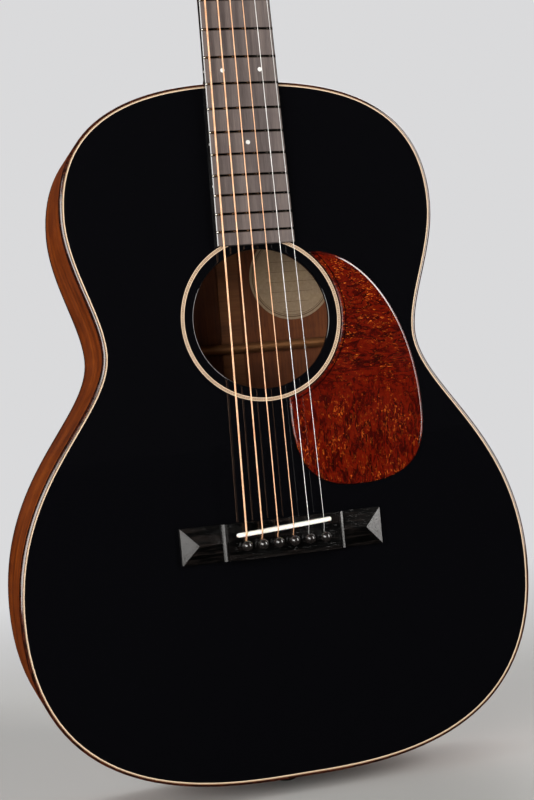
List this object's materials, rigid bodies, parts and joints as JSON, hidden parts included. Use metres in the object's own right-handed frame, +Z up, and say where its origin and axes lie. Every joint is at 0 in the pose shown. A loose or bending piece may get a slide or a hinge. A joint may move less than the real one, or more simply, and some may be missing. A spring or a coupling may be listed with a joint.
{
  "type": "steel-string acoustic guitar",
  "caption": "Steel-string acoustic guitar: small rounded body, gloss black soundboard, round soundhole, teardrop pickguard, pyramid-ended bridge and geared tuners.",
  "frame": {"origin": "middle of the strap button's head at the tail, on the button's axis", "axes": "+Z up along the strings from tail to headstock, -Y out of the soundboard towards the listener, +X towards the treble side"},
  "size_m": [0.385, 0.121, 1.0226],
  "materials": {
    "black_lacquer": "deep gloss black lacquer over spruce",
    "mahogany": "gloss lacquer over red-brown mahogany",
    "neck_mahogany": "satin red-brown mahogany",
    "dark_binding": "gloss dark tortoise pattern",
    "herringbone": "gloss cream and brown lines",
    "ebony": "satin, fine grain",
    "spruce": "sanded, bare",
    "inner_mahogany": "sanded, bare",
    "maple": "sanded, bare",
    "tortoise": "gloss red tortoise pattern",
    "paper": "cream paper, unprinted",
    "bone": "polished bone",
    "black_plastic": "polished",
    "pearl": "polished",
    "nickel_silver": "polished fret wire",
    "nickel": "polished nickel",
    "steel": "plain steel",
    "brass": "plain brass",
    "bronze_wound": "fine bronze winding",
    "plain_steel": "bright drawn wire",
    "button_cream": "polished"
  },
  "bodies": {
    "guitar": {"soundboard": "black_lacquer", "back_bass": "mahogany", "back_treble": "mahogany", "back_stripe": "herringbone", "side_bass": "mahogany", "side_treble": "mahogany", "tail_wedge": "dark_binding", "top_binding": "dark_binding", "back_binding": "dark_binding", "top_purfling": "herringbone", "kerfed_linings": "maple", "tail_block": "inner_mahogany", "neck_block": "inner_mahogany", "x_braces": "spruce", "transverse_brace": "spruce", "tone_bars": "spruce", "finger_braces": "spruce", "back_braces": "spruce", "back_reinforcement": "inner_mahogany", "bridge_plate": "maple", "rosette": "herringbone", "pickguard": "tortoise", "label": "paper", "bridge": "ebony", "saddle": "bone", "neck": "neck_mahogany", "heel_cap": "ebony", "fingerboard": "ebony", "frets": "nickel_silver", "nut": "bone", "fret_markers": "pearl", "headplate": "ebony", "truss_rod": "steel", "neck_bolts": "steel", "wound_strings": "bronze_wound", "plain_strings": "plain_steel", "ball_ends": "brass", "tuner_plates": "nickel", "tuner_screws": "nickel", "tuner_bushings": "nickel", "strap_button": "black_plastic"},
    "pin_1": {"bridge_pin_1": "black_plastic"},
    "pin_2": {"bridge_pin_2": "black_plastic"},
    "pin_3": {"bridge_pin_3": "black_plastic"},
    "pin_4": {"bridge_pin_4": "black_plastic"},
    "pin_5": {"bridge_pin_5": "black_plastic"},
    "pin_6": {"bridge_pin_6": "black_plastic"},
    "knob_1": {"tuner_knob_1": "button_cream"},
    "post_1": {"tuner_post_1": "nickel"},
    "knob_2": {"tuner_knob_2": "button_cream"},
    "post_2": {"tuner_post_2": "nickel"},
    "knob_3": {"tuner_knob_3": "button_cream"},
    "post_3": {"tuner_post_3": "nickel"},
    "knob_4": {"tuner_knob_4": "button_cream"},
    "post_4": {"tuner_post_4": "nickel"},
    "knob_5": {"tuner_knob_5": "button_cream"},
    "post_5": {"tuner_post_5": "nickel"},
    "knob_6": {"tuner_knob_6": "button_cream"},
    "post_6": {"tuner_post_6": "nickel"},
    "rod_nut": {"truss_rod_nut": "brass"}
  },
  "joints": [
    {"name": "pin_1_pull", "type": "slide", "parent": "guitar", "child": "pin_1", "axis": [0, -1, 0], "range_m": [0, 0.03]},
    {"name": "pin_2_pull", "type": "slide", "parent": "guitar", "child": "pin_2", "axis": [0, -1, 0], "range_m": [0, 0.03]},
    {"name": "pin_3_pull", "type": "slide", "parent": "guitar", "child": "pin_3", "axis": [0, -1, 0], "range_m": [0, 0.03]},
    {"name": "pin_4_pull", "type": "slide", "parent": "guitar", "child": "pin_4", "axis": [0, -1, 0], "range_m": [0, 0.03]},
    {"name": "pin_5_pull", "type": "slide", "parent": "guitar", "child": "pin_5", "axis": [0, -1, 0], "range_m": [0, 0.03]},
    {"name": "pin_6_pull", "type": "slide", "parent": "guitar", "child": "pin_6", "axis": [0, -1, 0], "range_m": [0, 0.03]},
    {"name": "knob_1_turn", "type": "hinge", "parent": "guitar", "child": "knob_1", "pos_m": [-0.0225, -0.02452, 0.87075], "axis": [1, 0, 0], "continuous": true},
    {"name": "post_1_turn", "type": "hinge", "parent": "guitar", "child": "post_1", "pos_m": [-0.0225, -0.04013, 0.88435], "axis": [0, 0.9659, -0.2588], "continuous": true},
    {"name": "knob_2_turn", "type": "hinge", "parent": "guitar", "child": "knob_2", "pos_m": [-0.024, -0.01365, 0.91131], "axis": [1, 0, 0], "continuous": true},
    {"name": "post_2_turn", "type": "hinge", "parent": "guitar", "child": "post_2", "pos_m": [-0.024, -0.02926, 0.92492], "axis": [0, 0.9659, -0.2588], "continuous": true},
    {"name": "knob_3_turn", "type": "hinge", "parent": "guitar", "child": "knob_3", "pos_m": [-0.0255, -0.00278, 0.95188], "axis": [1, 0, 0], "continuous": true},
    {"name": "post_3_turn", "type": "hinge", "parent": "guitar", "child": "post_3", "pos_m": [-0.0255, -0.01839, 0.96549], "axis": [0, 0.9659, -0.2588], "continuous": true},
    {"name": "knob_4_turn", "type": "hinge", "parent": "guitar", "child": "knob_4", "pos_m": [0.0255, -0.00278, 0.95188], "axis": [1, 0, 0], "continuous": true},
    {"name": "post_4_turn", "type": "hinge", "parent": "guitar", "child": "post_4", "pos_m": [0.0255, -0.01839, 0.96549], "axis": [0, 0.9659, -0.2588], "continuous": true},
    {"name": "knob_5_turn", "type": "hinge", "parent": "guitar", "child": "knob_5", "pos_m": [0.024, -0.01365, 0.91131], "axis": [1, 0, 0], "continuous": true},
    {"name": "post_5_turn", "type": "hinge", "parent": "guitar", "child": "post_5", "pos_m": [0.024, -0.02926, 0.92492], "axis": [0, 0.9659, -0.2588], "continuous": true},
    {"name": "knob_6_turn", "type": "hinge", "parent": "guitar", "child": "knob_6", "pos_m": [0.0225, -0.02452, 0.87075], "axis": [1, 0, 0], "continuous": true},
    {"name": "post_6_turn", "type": "hinge", "parent": "guitar", "child": "post_6", "pos_m": [0.0225, -0.04013, 0.88435], "axis": [0, 0.9659, -0.2588], "continuous": true},
    {"name": "rod_nut_turn", "type": "hinge", "parent": "guitar", "child": "rod_nut", "pos_m": [0, -0.0434, 0.4712], "axis": [0, 0, 1], "range_deg": [-180, 180]}
  ],
  "couplings": [
    {"joint": "post_1_turn", "follows": "knob_1_turn", "ratio": 0.0625},
    {"joint": "post_2_turn", "follows": "knob_2_turn", "ratio": 0.0625},
    {"joint": "post_3_turn", "follows": "knob_3_turn", "ratio": 0.0625},
    {"joint": "post_4_turn", "follows": "knob_4_turn", "ratio": 0.0625},
    {"joint": "post_5_turn", "follows": "knob_5_turn", "ratio": 0.0625},
    {"joint": "post_6_turn", "follows": "knob_6_turn", "ratio": 0.0625}
  ]
}
